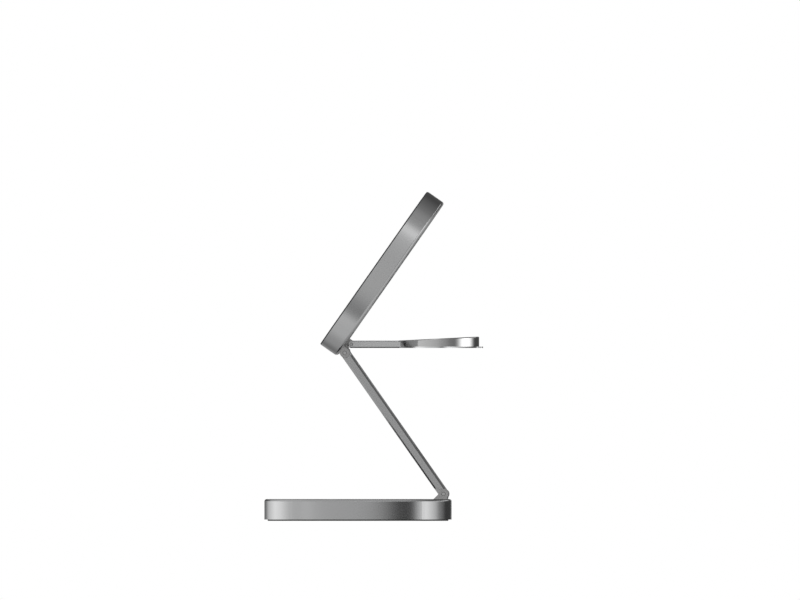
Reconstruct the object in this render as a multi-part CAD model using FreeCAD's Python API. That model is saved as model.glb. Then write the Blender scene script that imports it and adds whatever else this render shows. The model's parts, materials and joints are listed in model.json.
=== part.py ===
import FreeCAD, Part
import math
import os

# Folding three in one wireless charger: base, arm, tilting pad and a short arm with a round puck.
# Millimetres, +Z up, -Y is the front that the pad faces, +X is the right seen from the front.
# The origin is the centre of the foot's underside.

Vector = FreeCAD.Vector
os.makedirs("parts", exist_ok=True)

# Plan shared by the base and the phone pad
body_length = 79.5
body_width = 61.0
corner_radius = 12.0
edge_radius = 1.0

# Angles of the open charger
arm_angle = 55.0
pad_angle = 55.0

# Clearances
fit_gap = 0.1
running_gap = 0.03
slab_gap = 0.28
hinge_gap = 0.25

# Base
foot_height = 0.55
foot_inset = 1.4
base_height = 8.75
base_wall = 1.6
base_skin = 1.5
bottom_plate_thickness = 1.2
inlay_thickness = 0.8
inlay_margin = 4.0
inlay_ledge = 2.0
inlay_rear_setback = 11.25
boss_radius = 2.5
boss_inset = 4.5
front_boss_setback = 15.75
rear_boss_setback = 19.75

# Case screws
screw_radius = 0.7
screw_head_radius = 1.3
screw_head_height = 0.6
screw_grip = 3.0
short_grip = 1.1

# Hinges
axis_inset = 3.0
ear_radius = 2.05
ear_foot_trim = 0.65
ear_thickness = 2.1
hinge_side_gap = 0.4
washer_thickness = 0.2
washer_radius = 1.7
pin_radius = 0.9
pin_end_recess = 0.3
pin_chamfer = 0.2

# Arm
arm_width = 44.0
arm_thickness = 3.84
arm_edge_chamfer = 0.7
window_clearance = 0.35
window_edge_radius = 0.4
eye_block_width = 6.5
eye_block_length = 6.4
lip_notch_clearance = 1.5
wire_channel_width = 2.4
wire_channel_depth = 1.5
wire_cover_thickness = 0.5
wire_end_setback = 9.0
ribbon_width = 1.8
ribbon_thickness = 0.5

# Base hinge bracket
bracket_plate_thickness = 0.9
bracket_plate_depth = 7.0
bracket_screw_spacing = 8.0

# Earbud charging coil
earbud_coil_outer = 16.0
earbud_coil_inner = 7.0
earbud_coil_thickness = 1.1
earbud_ferrite_thickness = 0.7
earbud_carrier_side = 38.0
carrier_corner = 3.0
ferrite_overhang = 1.0
counterweight_width = 42.0
counterweight_front_setback = 12.1
counterweight_thickness = 2.25

# Power electronics and inlet
board_thickness = 1.0
board_width = 32.0
board_length = 17.0
board_rear_gap = 0.75
board_post_radius = 1.5
board_post_inset = 2.5
chip_inset = 1.0
chip_gap = 3.5
controller_width = 8.0
controller_length = 5.0
capacitor_width = 5.0
capacitor_length = 4.0
capacitor_height = 1.8
inductor_radius = 2.5
inductor_height = 2.4
inlet_width = 8.94
inlet_height = 3.2
inlet_depth = 7.3
inlet_wall = 0.3
inlet_corner = 1.25
inlet_recess = 0.3
tongue_width = 6.7
tongue_thickness = 0.7
tongue_reach = 5.2
chip_height = 1.2

# Phone pad
pad_thickness = 8.6
pad_wall = 1.6
pad_back_skin = 2.5
pad_face_thickness = 0.5
pad_face_step = 1.0
pad_face_edge = 0.2
puck_pocket_depth = 1.5
puck_pocket_clearance = 0.65
carrier_gap = 0.3
carrier_height = 3.0
post_radius = 2.0
post_inset = 6.5
magnet_side_wall = 1.1
magnet_band = 4.5
magnet_count = 16
magnet_spacing_angle = 2.0
magnet_thickness = 1.6
alignment_magnet_width = 18.0
alignment_magnet_length = 5.0
phone_coil_margin = 1.0
phone_coil_inner = 10.0
phone_coil_thickness = 1.2
phone_ferrite_gap = 1.0
phone_ferrite_thickness = 0.8
pad_board_width = 34.0
pad_board_length = 20.0
pad_board_thickness = 0.8
pad_board_setback = 15.0
pad_chip_side = 6.0
pad_chip_inset = 3.0
pad_chip_gap = 3.0
pad_chip_height = 0.6

# Pad hinge bracket
pad_plate_thickness = 1.2
pad_plate_reach = 9.0
pad_screw_rise = 6.6
pad_screw_inner = 9.0
pad_screw_outer = 17.0

# Watch arm
watch_pivot_rise = 4.5
watch_arm_thickness = 3.16
watch_pin_radius = 0.7
pivot_lug_width = 4.6
pivot_lug_radius = 1.6
pivot_web_rise = 2.45
pivot_web_drop = 1.2
pivot_web_corner = 0.8
pivot_side_gap = 0.3
pivot_washer_thickness = 0.2
pivot_washer_radius = 1.3
watch_arm_width = 10.0
watch_root_length = 3.0
watch_edge_chamfer = 0.45
watch_reach = 37.1
watch_cover_thickness = 0.6
puck_radius = 17.45
puck_ring_width = 1.95
puck_tilt = 2.8
puck_edge_radius = 0.4
puck_dish_depth = 0.6
puck_dish_radius = 13.5
neck_tongue_thickness = 1.58
watch_floor_thickness = 0.8
watch_ferrite_radius = 13.0
watch_ferrite_thickness = 0.5
watch_coil_outer = 12.5
watch_coil_inner = 5.2
watch_coil_thickness = 0.8
puck_magnet_radius = 4.6
lip_width = 8.0
lip_reach = 1.65

# Levels and places worked out from the sizes above
base_top = foot_height + base_height
skin_underside = base_top - base_skin
plate_top = foot_height + bottom_plate_thickness
hinge_offset = arm_thickness / 2 + slab_gap
lower_axis_y = body_length / 2 - axis_inset
lower_axis_z = base_top + hinge_offset
arm_span = body_length - 2 * axis_inset
upper_axis_y = lower_axis_y - arm_span * math.cos(math.radians(arm_angle))
upper_axis_z = lower_axis_z + arm_span * math.sin(math.radians(arm_angle))
pivot_y = upper_axis_y + watch_pivot_rise * math.cos(math.radians(pad_angle))
pivot_z = upper_axis_z + watch_pivot_rise * math.sin(math.radians(pad_angle))
ear_outer = arm_width / 2
ear_inner = ear_outer - ear_thickness
eye_outer = ear_inner - hinge_side_gap
eye_inner = eye_outer - eye_block_width
window_radius = puck_radius + window_clearance
puck_place = watch_pivot_rise + watch_reach
pad_centre = body_length / 2 - axis_inset
pad_back = hinge_offset
pad_front = pad_back + pad_thickness
pad_rim = pad_front - pad_face_thickness
pad_floor = pad_back + pad_back_skin
stack_top = pad_rim - pad_face_step
magnet_ring_outer = body_width / 2 - pad_wall - carrier_gap - magnet_side_wall
magnet_ring_inner = magnet_ring_outer - magnet_band
phone_ferrite_radius = magnet_ring_inner - phone_ferrite_gap
phone_coil_outer = phone_ferrite_radius - phone_coil_margin
coil_centre_y = -body_length / 2 + inlay_margin + (body_length - inlay_margin - inlay_rear_setback) / 2
rear_inner_y = body_length / 2 - base_wall
watch_half = watch_arm_thickness / 2
cover_top = -watch_half + watch_cover_thickness
floor_top = cover_top + watch_floor_thickness
coil_top = floor_top + watch_ferrite_thickness + watch_coil_thickness


# Plain shapes
def slab(width, length, radius, low, high, centre_y=0.0, centre_x=0.0):
    """A plate with rounded plan corners."""
    corner = Vector(centre_x - width / 2, centre_y - length / 2, low)
    block = Part.makeBox(width, length, high - low, corner)
    upright = [edge for edge in block.Edges if edge.BoundBox.ZLength > (high - low) / 2]
    return block.makeFillet(radius, upright)


def box(x_low, x_high, y_low, y_high, z_low, z_high):
    size = (x_high - x_low, y_high - y_low, z_high - z_low)
    return Part.makeBox(*size, Vector(x_low, y_low, z_low))


def disc(radius, low, high, x=0.0, y=0.0):
    return Part.makeCylinder(radius, high - low, Vector(x, y, low))


def ring(outer, inner, low, high, x=0.0, y=0.0):
    return disc(outer, low, high, x, y).cut(disc(inner, low, high, x, y))


def rod(radius, x_low, x_high, y=0.0, z=0.0):
    """A round bar along X."""
    return Part.makeCylinder(radius, x_high - x_low, Vector(x_low, y, z), Vector(1, 0, 0))


def profile(points, x_low, x_high):
    """A prism along X from an outline of (y, z) points."""
    corners = [Vector(x_low, y, z) for y, z in points]
    face = Part.Face(Part.makePolygon(corners + corners[:1]))
    return face.extrude(Vector(x_high - x_low, 0, 0))


def level_edges(shape, level):
    """The edges that lie flat at one height."""
    bounds = [(edge, edge.BoundBox) for edge in shape.Edges]
    return [edge for edge, b in bounds if abs(b.ZMin - level) < 0.01 and abs(b.ZMax - level) < 0.01]


def rounded_rim(shape, level, radius):
    return shape.makeFillet(radius, level_edges(shape, level))


def both_sides(piece):
    """The piece and its mirror image across the middle plane."""
    return [piece, piece.mirror(Vector(0, 0, 0), Vector(1, 0, 0))]


def cap_screw(x, y, seat, tip):
    """A screw whose head rests under its seat and whose shank goes up to its tip."""
    head = disc(screw_head_radius, seat - screw_head_height, seat, x, y)
    return head.fuse(disc(screw_radius, seat, tip, x, y)).removeSplitter()


def chamfered_pin(radius, x_low, x_high, y=0.0, z=0.0):
    pin = rod(radius, x_low, x_high, y, z)
    return pin.makeChamfer(pin_chamfer, [edge for edge in pin.Edges if edge.BoundBox.XLength < 0.01])


# Where each moving body stands
def at_hinge(shape, angle, y, z):
    moved = shape.copy()
    moved.rotate(Vector(0, 0, 0), Vector(1, 0, 0), angle)
    moved.translate(Vector(0, y, z))
    return moved


def on_arm(shape):
    return at_hinge(shape, -arm_angle, upper_axis_y, upper_axis_z)


def on_pad(shape):
    return at_hinge(shape, pad_angle, upper_axis_y, upper_axis_z)


def on_watch_arm(shape):
    return at_hinge(shape, 0.0, pivot_y, pivot_z)


# Base
def case_screw_places():
    x = body_width / 2 - boss_inset
    front = -body_length / 2 + front_boss_setback
    rear = body_length / 2 - rear_boss_setback
    return [(side * x, y) for side in (-1, 1) for y in (front, rear)]


def inlay_plan(grow, low, high):
    length = body_length - inlay_margin - inlay_rear_setback + 2 * grow
    width = body_width - 2 * inlay_margin + 2 * grow
    radius = corner_radius - inlay_margin + grow
    return slab(width, length, radius, low, high, coil_centre_y)


def inlet_plan(grow, front, rear):
    """The inlet's outline, standing on the board and running out of the rear wall."""
    width = inlet_width + 2 * grow
    height = inlet_height + 2 * grow
    centre = inlet_centre_z()
    flat = slab(width, height, inlet_corner + grow, 0, rear - front)
    flat.rotate(Vector(0, 0, 0), Vector(1, 0, 0), 90)
    flat.translate(Vector(0, rear, centre))
    return flat


def board_underside():
    return inlet_centre_z() - inlet_height / 2 - board_thickness


def inlet_centre_z():
    return skin_underside - bracket_plate_thickness - fit_gap - inlet_height / 2


def board_rear_y():
    return rear_inner_y - board_rear_gap


def board_front_y():
    return board_rear_y() - board_length


def bracket_plate_rear():
    """The plate stops short of the inner wall's round corner at the ear."""
    inner_radius = corner_radius - base_wall
    offset = max(ear_outer - (body_width / 2 - corner_radius), 0)
    depth = math.sqrt(inner_radius ** 2 - offset ** 2)
    return body_length / 2 - corner_radius + depth - hinge_gap


def base_ear(grow, x_low, x_high, bottom):
    """An ear of the base bracket: a round eye on a foot with a sloping front."""
    eye = rod(ear_radius + grow, x_low, x_high, lower_axis_y, lower_axis_z)
    front = lower_axis_y - ear_radius - grow
    rear = lower_axis_y + ear_radius - ear_foot_trim + grow
    foot = profile(
        [
            (front - hinge_offset, bottom),
            (front - hinge_offset, base_top),
            (front, lower_axis_z),
            (lower_axis_y, lower_axis_z),
            (lower_axis_y + ear_radius + grow, lower_axis_z),
            (rear, base_top),
            (rear, bottom),
        ],
        x_low,
        x_high,
    )
    return eye.fuse(foot).removeSplitter()


def bracket_screw_places():
    y = bracket_plate_rear() - bracket_plate_depth / 2
    half = bracket_screw_spacing
    return [(side * half * step, y) for side in (-1, 1) for step in (1, 2)]


def base_shell():
    shell = slab(body_width, body_length, corner_radius, foot_height, base_top)
    shell = rounded_rim(shell, base_top, edge_radius)
    hollow_width = body_width - 2 * base_wall
    hollow_length = body_length - 2 * base_wall
    hollow_radius = corner_radius - base_wall
    shell = shell.cut(slab(hollow_width, hollow_length, hollow_radius, foot_height, skin_underside))
    for x, y in case_screw_places():
        wall_x = math.copysign(body_width / 2 - base_wall / 2, x)
        near, far = sorted((x, wall_x))
        web = box(near, far, y - boss_radius, y + boss_radius, plate_top, skin_underside)
        shell = shell.fuse(disc(boss_radius, plate_top, skin_underside, x, y)).fuse(web)
    shell = shell.cut(inlay_plan(fit_gap, base_top - inlay_thickness, base_top + 1))
    shell = shell.cut(inlay_plan(-inlay_ledge, skin_underside - 1, base_top))
    for x, y in case_screw_places():
        shell = shell.cut(disc(screw_radius, plate_top, plate_top + screw_grip, x, y))
    for x, y in bracket_screw_places():
        shell = shell.cut(disc(screw_radius, skin_underside, skin_underside + short_grip, x, y))
    for piece in both_sides(ear_slot()):
        shell = shell.cut(piece)
    return shell.cut(inlet_plan(fit_gap, rear_inner_y - 1, body_length / 2 + 1)).removeSplitter()


def ear_slot():
    front = lower_axis_y - ear_radius - hinge_offset - fit_gap
    rear = lower_axis_y + ear_radius - ear_foot_trim + fit_gap
    return box(ear_inner - fit_gap, ear_outer + fit_gap, front, rear, skin_underside, base_top + 1)


def base_top_inlay():
    inlay = inlay_plan(0, base_top - inlay_thickness, base_top)
    return rounded_rim(inlay, base_top, pad_face_edge)


def base_bottom_plate():
    width = body_width - 2 * base_wall - 2 * fit_gap
    length = body_length - 2 * base_wall - 2 * fit_gap
    plate = slab(width, length, corner_radius - base_wall - fit_gap, foot_height, plate_top)
    for x, y in board_post_places():
        plate = plate.fuse(disc(board_post_radius, foot_height, board_underside(), x, y))
    seat = foot_height + screw_head_height
    for x, y in case_screw_places():
        plate = plate.cut(disc(screw_radius + fit_gap, foot_height, plate_top, x, y))
        plate = plate.cut(disc(screw_head_radius + fit_gap, foot_height, seat, x, y))
    return plate.removeSplitter()


def foot_pad():
    width = body_width - 2 * foot_inset
    length = body_length - 2 * foot_inset
    foot = slab(width, length, corner_radius - foot_inset, 0, foot_height)
    return rounded_rim(foot, 0, foot_height / 3)


def case_screws():
    seat = foot_height + screw_head_height
    tip = plate_top + screw_grip
    return [cap_screw(x, y, seat, tip) for x, y in case_screw_places()]


def counterweight():
    """A steel plate that fills the room in front of the board."""
    top = plate_top + counterweight_thickness
    front = -body_length / 2 + counterweight_front_setback
    rear = board_front_y() - fit_gap
    return slab(counterweight_width, rear - front, carrier_corner, plate_top, top, (front + rear) / 2)


def coil_seat():
    return base_top - inlay_thickness - earbud_coil_thickness


def earbud_coil():
    high = base_top - inlay_thickness
    return ring(earbud_coil_outer, earbud_coil_inner, coil_seat(), high, 0, coil_centre_y)


def earbud_ferrite():
    low = coil_seat() - earbud_ferrite_thickness
    return disc(earbud_coil_outer + ferrite_overhang, low, coil_seat(), 0, coil_centre_y)


def earbud_coil_carrier():
    low = plate_top + counterweight_thickness
    high = coil_seat() - earbud_ferrite_thickness
    return slab(earbud_carrier_side, earbud_carrier_side, carrier_corner, low, high, coil_centre_y)


def board_post_places():
    x = board_width / 2 - board_post_inset
    rear = board_rear_y() - board_post_inset
    front = board_front_y() + board_post_inset
    return [(side * x, y) for side in (-1, 1) for y in (front, rear)]


def main_board():
    low = board_underside()
    half = board_width / 2
    return box(-half, half, board_front_y(), board_rear_y(), low, low + board_thickness)


def board_parts():
    """A controller in the middle, with a capacitor and an inductor beside it."""
    low = board_underside() + board_thickness
    front = board_front_y() + chip_inset
    half = controller_width / 2
    near = half + chip_gap
    controller = box(-half, half, front, front + controller_length, low, low + chip_height)
    capacitor = box(-near - capacitor_width, -near, front, front + capacitor_length,
                    low, low + capacitor_height)
    inductor = disc(inductor_radius, low, low + inductor_height,
                    near + inductor_radius, front + inductor_radius)
    return [controller, capacitor, inductor]


def inlet_rear_y():
    return body_length / 2 - inlet_recess


def usb_c_sleeve():
    rear = inlet_rear_y()
    front = rear - inlet_depth
    return inlet_plan(0, front, rear).cut(inlet_plan(-inlet_wall, front + inlet_wall, rear + 1))


def usb_c_tongue():
    rear = inlet_rear_y() - inlet_depth + inlet_wall + tongue_reach
    front = inlet_rear_y() - inlet_depth + inlet_wall
    centre = inlet_centre_z()
    half = tongue_width / 2
    tongue = box(-half, half, front, rear, centre - tongue_thickness / 2, centre + tongue_thickness / 2)
    root = box(-half, half, front, front + 1, centre - tongue_thickness, centre + tongue_thickness)
    return tongue.fuse(root).removeSplitter()


def base_hinge_bracket():
    rear = bracket_plate_rear()
    low = skin_underside - bracket_plate_thickness
    plate = box(-ear_outer, ear_outer, rear - bracket_plate_depth, rear, low, skin_underside)
    ear = base_ear(0, ear_inner, ear_outer, skin_underside)
    ear = ear.cut(rod(pin_radius, ear_inner, ear_outer, lower_axis_y, lower_axis_z))
    for piece in both_sides(ear):
        plate = plate.fuse(piece)
    for x, y in bracket_screw_places():
        plate = plate.cut(disc(screw_radius + fit_gap, low, skin_underside, x, y))
    return plate.removeSplitter()


def base_bracket_screws():
    seat = skin_underside - bracket_plate_thickness
    tip = skin_underside + short_grip
    return [cap_screw(x, y, seat, tip) for x, y in bracket_screw_places()]


def lower_hinge_pin():
    reach = ear_outer - pin_end_recess
    return chamfered_pin(pin_radius, -reach, reach, lower_axis_y, lower_axis_z)


def washer_pair(inner_face, y=0.0, z=0.0):
    """Friction washers that lie against the inner faces of a pair of ears."""
    washer = rod(washer_radius, inner_face - washer_thickness, inner_face, y, z)
    bore = rod(pin_radius, inner_face - washer_thickness, inner_face, y, z)
    return both_sides(washer.cut(bore))


def lower_hinge_washers():
    return washer_pair(ear_inner, lower_axis_y, lower_axis_z)


# Arm, lying flat with the upper axis at its origin and the lower axis at +Y
def arm_blank():
    half = arm_thickness / 2
    side = arm_width / 2
    blank = box(-side, side, 0, arm_span, -half, half)
    blank = blank.fuse([rod(half, -side, side, 0, 0), rod(half, -side, side, arm_span, 0)]).removeSplitter()
    ends = [edge for edge in blank.Edges if edge.BoundBox.XLength < 0.01]
    return blank.makeChamfer(arm_edge_chamfer, ends)


def arm_window():
    """The opening that the watch arm and its puck fold into."""
    reach = arm_thickness
    low, high = -reach, reach
    round_end = disc(window_radius, low, high, 0, puck_place)
    wide = slab(2 * window_radius, puck_place - eye_block_length, edge_radius, low, high,
                (puck_place + eye_block_length) / 2)
    filled = box(-window_radius, window_radius, puck_place / 2, puck_place, low, high)
    mouth = box(-eye_inner, eye_inner, -reach, puck_place / 2, low, high)
    tip = puck_place + puck_radius + lip_reach + lip_notch_clearance
    half_notch = lip_width / 2 + lip_notch_clearance
    notch = slab(2 * half_notch, 4 * edge_radius + lip_reach, edge_radius, low, high,
                 tip - 2 * edge_radius - lip_reach / 2)
    return round_end.fuse([wide, filled, mouth, notch]).removeSplitter()


def arm_frame():
    frame = arm_blank().cut(arm_window())
    frame = soften_window(frame)
    side = arm_width / 2 + 1
    base_relief = base_ear(hinge_gap, eye_outer, side, base_top)
    base_relief.translate(Vector(0, arm_span - lower_axis_y, -lower_axis_z))
    pad_relief = folded_relief(ear_radius + hinge_gap, eye_outer, side)
    for piece in both_sides(base_relief) + both_sides(pad_relief):
        frame = frame.cut(piece)
    for axis in (0, arm_span):
        frame = frame.cut(rod(pin_radius + running_gap, -side, side, axis, 0))
    frame = frame.cut(wire_channel(0, wire_channel_depth, 0))
    return frame.removeSplitter()


def folded_relief(radius, x_low, x_high):
    """Room round a pivot for a lug that stands straight up when the charger is folded."""
    lug_room = box(x_low, x_high, -2 * radius, radius, 0, 2 * radius)
    return rod(radius, x_low, x_high).fuse(lug_room)


def soften_window(frame):
    """Round the window's long edges, both faces."""
    half = arm_thickness / 2
    rim = []
    for level in (-half, half):
        for edge in level_edges(frame, level):
            bounds = edge.BoundBox
            inside = max(abs(bounds.XMin), abs(bounds.XMax)) < window_radius + 0.01
            if inside and bounds.YMin > eye_block_length:
                rim.append(edge)
    return frame.makeFillet(window_edge_radius, rim)


def wire_channel(shrink, depth, cover):
    """A slot along one rail, open on the face that folds onto the base."""
    low = -arm_thickness / 2 + cover
    x = (arm_width / 2 + window_radius) / 2
    width = wire_channel_width - 2 * shrink
    length = arm_span - 2 * wire_end_setback - 2 * shrink
    return slab(width, length, width / 2.2, low, low + depth - cover, arm_span / 2, x)


def arm_wire_cover():
    return wire_channel(fit_gap, wire_cover_thickness, 0)


def arm_ribbon_wire():
    high = -arm_thickness / 2 + wire_channel_depth
    x = (arm_width / 2 + window_radius) / 2
    half = arm_span / 2 - wire_end_setback - wire_channel_width
    middle = arm_span / 2
    side = ribbon_width / 2
    return box(x - side, x + side, middle - half, middle + half, high - ribbon_thickness, high)


# Phone pad, lying face up with the upper axis at its origin
def pad_post_places():
    x = body_width / 2 - post_inset
    near = -axis_inset + post_inset
    far = body_length - axis_inset - post_inset
    return [(side * x, y) for side in (-1, 1) for y in (near, far)]


def pad_shell():
    shell = slab(body_width, body_length, corner_radius, pad_back, pad_rim, pad_centre)
    shell = rounded_rim(shell, pad_back, edge_radius)
    width = body_width - 2 * pad_wall
    length = body_length - 2 * pad_wall
    shell = shell.cut(slab(width, length, corner_radius - pad_wall, pad_floor, pad_rim, pad_centre))
    for x, y in pad_post_places():
        shell = shell.fuse(disc(post_radius, pad_floor, carrier_low(), x, y))
    for x, y in pad_post_places():
        shell = shell.cut(disc(screw_radius, carrier_low() - short_grip, carrier_low(), x, y))
    pocket_radius = puck_radius + puck_pocket_clearance
    shell = shell.cut(disc(pocket_radius, pad_back - 1, pad_back + puck_pocket_depth, 0, puck_place))
    shell = shell.cut(pad_plate(fit_gap))
    plate_seat = pad_back + pad_plate_thickness
    for x, y in pad_screw_places():
        shell = shell.cut(disc(screw_radius, plate_seat, plate_seat + short_grip, x, y))
    return shell.removeSplitter()


def carrier_low():
    return stack_top - carrier_height


def pad_face():
    width = body_width - 2 * fit_gap
    length = body_length - 2 * fit_gap
    skin = slab(width, length, corner_radius - fit_gap, pad_rim, pad_front, pad_centre)
    skin = rounded_rim(skin, pad_front, pad_face_edge)
    step_width = body_width - 2 * pad_wall - 2 * fit_gap
    step_length = body_length - 2 * pad_wall - 2 * fit_gap
    step = slab(step_width, step_length, corner_radius - pad_wall - fit_gap, stack_top, pad_rim, pad_centre)
    return skin.fuse(step).removeSplitter()


def coil_carrier():
    width = body_width - 2 * pad_wall - 2 * carrier_gap
    length = body_length - 2 * pad_wall - 2 * carrier_gap
    radius = corner_radius - pad_wall - carrier_gap
    carrier = slab(width, length, radius, carrier_low(), stack_top, pad_centre)
    ferrite_low = stack_top - phone_coil_thickness - phone_ferrite_thickness
    carrier = carrier.cut(disc(phone_ferrite_radius + fit_gap, ferrite_low, stack_top, 0, pad_centre))
    magnet_low = stack_top - magnet_thickness
    outer = magnet_ring_outer + fit_gap
    inner = magnet_ring_inner - fit_gap
    carrier = carrier.cut(ring(outer, inner, magnet_low, stack_top, 0, pad_centre))
    carrier = carrier.cut(alignment_bar(fit_gap))
    for x, y in pad_post_places():
        seat = stack_top - screw_head_height
        carrier = carrier.cut(disc(screw_radius + fit_gap, carrier_low(), stack_top, x, y))
        carrier = carrier.cut(disc(screw_head_radius + fit_gap, seat, stack_top, x, y))
    return carrier.removeSplitter()


def carrier_screws():
    screws = []
    for x, y in pad_post_places():
        seat = stack_top - screw_head_height
        head = disc(screw_head_radius, seat, stack_top, x, y)
        shank = disc(screw_radius, carrier_low() - short_grip, seat, x, y)
        screws.append(head.fuse(shank).removeSplitter())
    return screws


def magnet_ring():
    step = 360.0 / magnet_count
    blank = ring(magnet_ring_outer, magnet_ring_inner, stack_top - magnet_thickness, stack_top)
    reach = 2 * magnet_ring_outer
    half = math.radians((step - magnet_spacing_angle) / 2)
    corners = [(0, 0), (reach * math.cos(half), -reach * math.sin(half))]
    corners.append((reach * math.cos(half), reach * math.sin(half)))
    points = [Vector(x, y, stack_top - magnet_thickness) for x, y in corners]
    wedge = Part.Face(Part.makePolygon(points + points[:1])).extrude(Vector(0, 0, magnet_thickness))
    magnet = blank.common(wedge)
    magnets = []
    for index in range(magnet_count):
        piece = magnet.copy()
        piece.rotate(Vector(0, 0, 0), Vector(0, 0, 1), (index + 0.5) * step)
        piece.translate(Vector(0, pad_centre, 0))
        magnets.append(piece)
    return magnets


def alignment_bar(grow):
    """Midway between the carrier's near end and the magnet ring."""
    near = -axis_inset + pad_wall + carrier_gap
    centre = (near + pad_centre - magnet_ring_outer) / 2
    width = alignment_magnet_width + 2 * grow
    length = alignment_magnet_length + 2 * grow
    low = stack_top - magnet_thickness
    return slab(width, length, edge_radius, low, stack_top, centre)


def alignment_magnet():
    return alignment_bar(0)


def phone_coil():
    low = stack_top - phone_coil_thickness
    return ring(phone_coil_outer, phone_coil_inner, low, stack_top, 0, pad_centre)


def phone_ferrite():
    high = stack_top - phone_coil_thickness
    return disc(phone_ferrite_radius, high - phone_ferrite_thickness, high, 0, pad_centre)


def pad_board():
    near = -axis_inset + pad_board_setback
    half = pad_board_width / 2
    return box(-half, half, near, near + pad_board_length, pad_floor, pad_floor + pad_board_thickness)


def pad_board_parts():
    """A driver in the middle, with a chip on each side further up."""
    low = pad_floor + pad_board_thickness
    high = low + pad_chip_height
    near = -axis_inset + pad_board_setback + pad_chip_inset
    far = near + pad_chip_side
    half = pad_chip_side / 2
    inner = half + pad_chip_gap
    driver = box(-half, half, near, far, low, high)
    chip = box(inner, inner + pad_chip_side, far, far + pad_chip_side, low, high)
    return [driver] + both_sides(chip)


def pad_plate(grow):
    """The bracket's plate, let into the pad's back."""
    near = ear_foot_trim - ear_radius - grow
    side = ear_outer + grow
    return box(-side, side, near, pad_plate_reach + grow, pad_back, pad_back + pad_plate_thickness)


def pad_screw_places():
    return [(side * x, pad_screw_rise) for side in (-1, 1) for x in (pad_screw_inner, pad_screw_outer)]


def pad_ear():
    """An ear of the pad bracket: a round eye that hangs from the plate."""
    outline = [
        (-ear_radius, 0),
        (ear_radius, 0),
        (ear_radius, pad_back),
        (ear_foot_trim - ear_radius, pad_back),
    ]
    ear = rod(ear_radius, ear_inner, ear_outer).fuse(profile(outline, ear_inner, ear_outer))
    return ear.cut(rod(pin_radius, ear_inner, ear_outer))


def pivot_web():
    """The web in the bracket's middle, from between the ears to the watch arm's pivot."""
    half = pivot_lug_width / 2
    nose = box(-half, half, 0, pivot_web_rise, -pivot_web_drop, pad_back)
    corner = [edge for edge in level_edges(nose, -pivot_web_drop) if edge.BoundBox.YMin > pivot_web_rise - 0.01]
    nose = nose.makeFillet(pivot_web_corner, corner)
    top = watch_pivot_rise + pivot_lug_radius
    stem = box(-half, half, ear_foot_trim - ear_radius, top, 0, pad_back)
    lug = rod(pivot_lug_radius, -half, half, watch_pivot_rise, 0)
    web = stem.fuse([nose, rod(ear_radius, -half, half), lug])
    return web.cut(rod(watch_pin_radius, -half, half, watch_pivot_rise, 0))


def pad_hinge_bracket():
    bracket = pad_plate(0)
    for piece in both_sides(pad_ear()):
        bracket = bracket.fuse(piece)
    bracket = bracket.fuse(pivot_web())
    for x, y in pad_screw_places():
        bracket = bracket.cut(disc(screw_radius + fit_gap, pad_back, pad_back + pad_plate_thickness, x, y))
        bracket = bracket.cut(disc(screw_head_radius + fit_gap, pad_back, pad_back + screw_head_height, x, y))
    return bracket.removeSplitter()


def pad_bracket_screws():
    seat = pad_back + screw_head_height
    tip = pad_back + pad_plate_thickness + short_grip
    return [cap_screw(x, y, seat, tip) for x, y in pad_screw_places()]


def upper_hinge_pins():
    return both_sides(chamfered_pin(pin_radius, eye_inner + pin_end_recess, ear_outer - pin_end_recess))


def upper_hinge_washers():
    return washer_pair(ear_inner)


def watch_pivot_pin():
    reach = watch_arm_width / 2 - pin_end_recess
    return chamfered_pin(watch_pin_radius, -reach, reach, watch_pivot_rise, 0)


def watch_pivot_washers():
    inner = pivot_lug_width / 2
    washer = rod(pivot_washer_radius, inner, inner + pivot_washer_thickness, watch_pivot_rise, 0)
    bore = rod(watch_pin_radius, inner, inner + pivot_washer_thickness, watch_pivot_rise, 0)
    return both_sides(washer.cut(bore))


# Watch arm, level, with its pivot at the origin
def watch_bar():
    """The bar from its round root to the puck's centre, with its long edges broken."""
    half = watch_arm_width / 2
    bar = box(-half, half, 0, watch_reach, -watch_half, watch_half)
    bar = bar.fuse(rod(watch_half, -half, half)).removeSplitter()
    bounds = [(edge, edge.BoundBox) for edge in bar.Edges]
    sides = [edge for edge, b in bounds if b.XLength < 0.01 and b.YMin < watch_reach - 0.01]
    return bar.makeChamfer(watch_edge_chamfer, sides)


def watch_neck(low, high, end_gap=0.0):
    """The bar between two heights, from the root to the puck's centre."""
    half = watch_arm_width / 2
    return watch_bar().common(box(-half, half, watch_root_length + end_gap, watch_reach, low, high))


def watch_arm_body():
    half = watch_arm_width / 2
    root = watch_bar().common(box(-half, half, -watch_half, watch_root_length, -watch_half, watch_half))
    neck = watch_neck(cover_top, watch_half)
    neck = neck.cut(disc(puck_radius + running_gap, cover_top, watch_half, 0, watch_reach))
    tongue_top = cover_top + neck_tongue_thickness
    tongue_start = watch_reach - puck_radius - 1
    tongue_end = watch_reach - puck_radius + puck_ring_width + fit_gap
    tongue = box(-half, half, tongue_start, tongue_end, cover_top, tongue_top)
    floor = disc(puck_radius - puck_ring_width - fit_gap / 2, cover_top, floor_top, 0, watch_reach)
    body = root.fuse([neck, tongue, floor])
    body = body.cut(rod(watch_pin_radius + running_gap, -half, half))
    slot = pivot_lug_width / 2 + pivot_side_gap
    return body.cut(folded_relief(pivot_lug_radius + hinge_gap, -slot, slot)).removeSplitter()


def watch_arm_cover():
    neck = watch_neck(-watch_half, cover_top, fit_gap)
    plate = disc(puck_radius, -watch_half, cover_top, 0, watch_reach)
    tip = watch_reach + puck_radius + lip_reach
    lip = slab(lip_width, 2 * lip_width, edge_radius, -watch_half, cover_top, tip - lip_width)
    return neck.fuse([plate, lip]).removeSplitter()


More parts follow.
